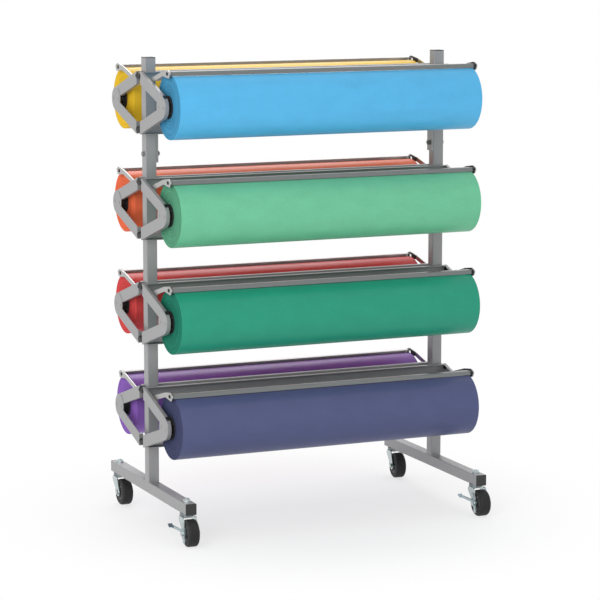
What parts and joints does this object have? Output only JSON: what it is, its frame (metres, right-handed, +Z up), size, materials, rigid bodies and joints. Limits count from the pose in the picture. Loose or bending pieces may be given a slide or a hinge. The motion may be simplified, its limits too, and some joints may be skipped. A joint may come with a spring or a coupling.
{
  "type": "paper roll rack",
  "caption": "Mobile double-sided rack that carries wide paper rolls in tiers between upright posts; each roll turns on core plugs under a hinged cutter bar.",
  "frame": {"origin": "on the floor, midway between the two posts", "axes": "+X along the rolls to the right seen from the front, -Y to the front row of rolls, +Z up the posts"},
  "size_m": [0.9799, 0.6533, 1.3263],
  "materials": {
    "grey_paint": "satin",
    "zinc_plate": "satin",
    "dark_steel": "satin",
    "cutter_steel": "satin",
    "black_plastic": "matte",
    "wheel_rubber": "matte",
    "cardboard": "matte",
    "paper_sky_blue": "matte",
    "paper_light_green": "matte",
    "paper_emerald": "matte",
    "paper_navy": "matte",
    "paper_yellow": "matte",
    "paper_orange": "matte",
    "paper_red": "matte",
    "paper_purple": "matte"
  },
  "bodies": {
    "frame": {"left_post": "grey_paint", "right_post": "grey_paint", "left_post_extension": "grey_paint", "right_post_extension": "grey_paint", "left_foot": "grey_paint", "right_foot": "grey_paint", "tube_caps": "black_plastic", "splice_straps": "grey_paint", "upper_arms_front": "grey_paint", "lower_arms_front": "grey_paint", "tie_bars_front": "grey_paint", "upper_arms_rear": "grey_paint", "lower_arms_rear": "grey_paint", "tie_bars_rear": "grey_paint", "arm_rivets": "grey_paint", "plug_spindles": "zinc_plate", "clamp_bolts": "dark_steel", "caster_stems": "zinc_plate"},
    "roll_front_1": {"paper_roll_front_1": "paper_sky_blue", "roll_core_front_1": "cardboard", "core_plugs_front_1": "black_plastic"},
    "cutter_arm_front_1": {"cutter_front_1": "cutter_steel"},
    "roll_front_2": {"paper_roll_front_2": "paper_light_green", "roll_core_front_2": "cardboard", "core_plugs_front_2": "black_plastic"},
    "cutter_arm_front_2": {"cutter_front_2": "cutter_steel"},
    "roll_front_3": {"paper_roll_front_3": "paper_emerald", "roll_core_front_3": "cardboard", "core_plugs_front_3": "black_plastic"},
    "cutter_arm_front_3": {"cutter_front_3": "cutter_steel"},
    "roll_front_4": {"paper_roll_front_4": "paper_navy", "roll_core_front_4": "cardboard", "core_plugs_front_4": "black_plastic"},
    "cutter_arm_front_4": {"cutter_front_4": "cutter_steel"},
    "roll_rear_1": {"paper_roll_rear_1": "paper_yellow", "roll_core_rear_1": "cardboard", "core_plugs_rear_1": "black_plastic"},
    "cutter_arm_rear_1": {"cutter_rear_1": "cutter_steel"},
    "roll_rear_2": {"paper_roll_rear_2": "paper_orange", "roll_core_rear_2": "cardboard", "core_plugs_rear_2": "black_plastic"},
    "cutter_arm_rear_2": {"cutter_rear_2": "cutter_steel"},
    "roll_rear_3": {"paper_roll_rear_3": "paper_red", "roll_core_rear_3": "cardboard", "core_plugs_rear_3": "black_plastic"},
    "cutter_arm_rear_3": {"cutter_rear_3": "cutter_steel"},
    "roll_rear_4": {"paper_roll_rear_4": "paper_purple", "roll_core_rear_4": "cardboard", "core_plugs_rear_4": "black_plastic"},
    "cutter_arm_rear_4": {"cutter_rear_4": "cutter_steel"},
    "swivel_front_left": {"caster_fork_front_left": "zinc_plate"},
    "wheel_front_left": {"caster_wheel_front_left": "wheel_rubber"},
    "brake_front_left": {"brake_lever_front_left": "zinc_plate"},
    "swivel_front_right": {"caster_fork_front_right": "zinc_plate"},
    "wheel_front_right": {"caster_wheel_front_right": "wheel_rubber"},
    "brake_front_right": {"brake_lever_front_right": "zinc_plate"},
    "swivel_rear_left": {"caster_fork_rear_left": "zinc_plate"},
    "wheel_rear_left": {"caster_wheel_rear_left": "wheel_rubber"},
    "swivel_rear_right": {"caster_fork_rear_right": "zinc_plate"},
    "wheel_rear_right": {"caster_wheel_rear_right": "wheel_rubber"}
  },
  "joints": [
    {"name": "roll_turn_front_1", "type": "hinge", "parent": "frame", "child": "roll_front_1", "pos_m": [0, -0.183, 1.1995], "axis": [1, 0, 0], "continuous": true},
    {"name": "cutter_lift_front_1", "type": "hinge", "parent": "frame", "child": "cutter_arm_front_1", "pos_m": [0, -0.04188, 1.2565], "axis": [-1, 0, 0], "range_deg": [0, 60]},
    {"name": "roll_turn_front_2", "type": "hinge", "parent": "frame", "child": "roll_front_2", "pos_m": [0, -0.183, 0.903], "axis": [1, 0, 0], "continuous": true},
    {"name": "cutter_lift_front_2", "type": "hinge", "parent": "frame", "child": "cutter_arm_front_2", "pos_m": [0, -0.04188, 0.96], "axis": [-1, 0, 0], "range_deg": [0, 60]},
    {"name": "roll_turn_front_3", "type": "hinge", "parent": "frame", "child": "roll_front_3", "pos_m": [0, -0.183, 0.6065], "axis": [1, 0, 0], "continuous": true},
    {"name": "cutter_lift_front_3", "type": "hinge", "parent": "frame", "child": "cutter_arm_front_3", "pos_m": [0, -0.04188, 0.6635], "axis": [-1, 0, 0], "range_deg": [0, 60]},
    {"name": "roll_turn_front_4", "type": "hinge", "parent": "frame", "child": "roll_front_4", "pos_m": [0, -0.183, 0.31], "axis": [1, 0, 0], "continuous": true},
    {"name": "cutter_lift_front_4", "type": "hinge", "parent": "frame", "child": "cutter_arm_front_4", "pos_m": [0, -0.04188, 0.367], "axis": [-1, 0, 0], "range_deg": [0, 60]},
    {"name": "roll_turn_rear_1", "type": "hinge", "parent": "frame", "child": "roll_rear_1", "pos_m": [0, 0.183, 1.1995], "axis": [1, 0, 0], "continuous": true},
    {"name": "cutter_lift_rear_1", "type": "hinge", "parent": "frame", "child": "cutter_arm_rear_1", "pos_m": [0, 0.04188, 1.2565], "axis": [1, 0, 0], "range_deg": [0, 60]},
    {"name": "roll_turn_rear_2", "type": "hinge", "parent": "frame", "child": "roll_rear_2", "pos_m": [0, 0.183, 0.903], "axis": [1, 0, 0], "continuous": true},
    {"name": "cutter_lift_rear_2", "type": "hinge", "parent": "frame", "child": "cutter_arm_rear_2", "pos_m": [0, 0.04188, 0.96], "axis": [1, 0, 0], "range_deg": [0, 60]},
    {"name": "roll_turn_rear_3", "type": "hinge", "parent": "frame", "child": "roll_rear_3", "pos_m": [0, 0.183, 0.6065], "axis": [1, 0, 0], "continuous": true},
    {"name": "cutter_lift_rear_3", "type": "hinge", "parent": "frame", "child": "cutter_arm_rear_3", "pos_m": [0, 0.04188, 0.6635], "axis": [1, 0, 0], "range_deg": [0, 60]},
    {"name": "roll_turn_rear_4", "type": "hinge", "parent": "frame", "child": "roll_rear_4", "pos_m": [0, 0.183, 0.31], "axis": [1, 0, 0], "continuous": true},
    {"name": "cutter_lift_rear_4", "type": "hinge", "parent": "frame", "child": "cutter_arm_rear_4", "pos_m": [0, 0.04188, 0.367], "axis": [1, 0, 0], "range_deg": [0, 60]},
    {"name": "swivel_front_left", "type": "hinge", "parent": "frame", "child": "swivel_front_left", "pos_m": [-0.44812, -0.273, 0.09], "axis": [0, 0, 1], "continuous": true},
    {"name": "wheel_spin_front_left", "type": "hinge", "parent": "swivel_front_left", "child": "wheel_front_left", "pos_m": [-0.44928, -0.30598, 0.038], "axis": [0.9994, -0.0349, 0], "continuous": true},
    {"name": "brake_press_front_left", "type": "hinge", "parent": "swivel_front_left", "child": "brake_front_left", "pos_m": [-0.44928, -0.30598, 0.038], "axis": [-0.9994, 0.0349, 0], "range_deg": [0, 20]},
    {"name": "swivel_front_right", "type": "hinge", "parent": "frame", "child": "swivel_front_right", "pos_m": [0.44812, -0.273, 0.09], "axis": [0, 0, 1], "continuous": true},
    {"name": "wheel_spin_front_right", "type": "hinge", "parent": "swivel_front_right", "child": "wheel_front_right", "pos_m": [0.44812, -0.306, 0.038], "axis": [1, 0, 0], "continuous": true},
    {"name": "brake_press_front_right", "type": "hinge", "parent": "swivel_front_right", "child": "brake_front_right", "pos_m": [0.44812, -0.306, 0.038], "axis": [-1, 0, 0], "range_deg": [0, 20]},
    {"name": "swivel_rear_left", "type": "hinge", "parent": "frame", "child": "swivel_rear_left", "pos_m": [-0.44812, 0.273, 0.09], "axis": [0, 0, 1], "continuous": true},
    {"name": "wheel_spin_rear_left", "type": "hinge", "parent": "swivel_rear_left", "child": "wheel_rear_left", "pos_m": [-0.44755, 0.24, 0.038], "axis": [0.9998, 0.0175, 0], "continuous": true},
    {"name": "swivel_rear_right", "type": "hinge", "parent": "frame", "child": "swivel_rear_right", "pos_m": [0.44812, 0.273, 0.09], "axis": [0, 0, 1], "continuous": true},
    {"name": "wheel_spin_rear_right", "type": "hinge", "parent": "swivel_rear_right", "child": "wheel_rear_right", "pos_m": [0.44525, 0.24013, 0.038], "axis": [0.9962, -0.0872, 0], "continuous": true}
  ]
}
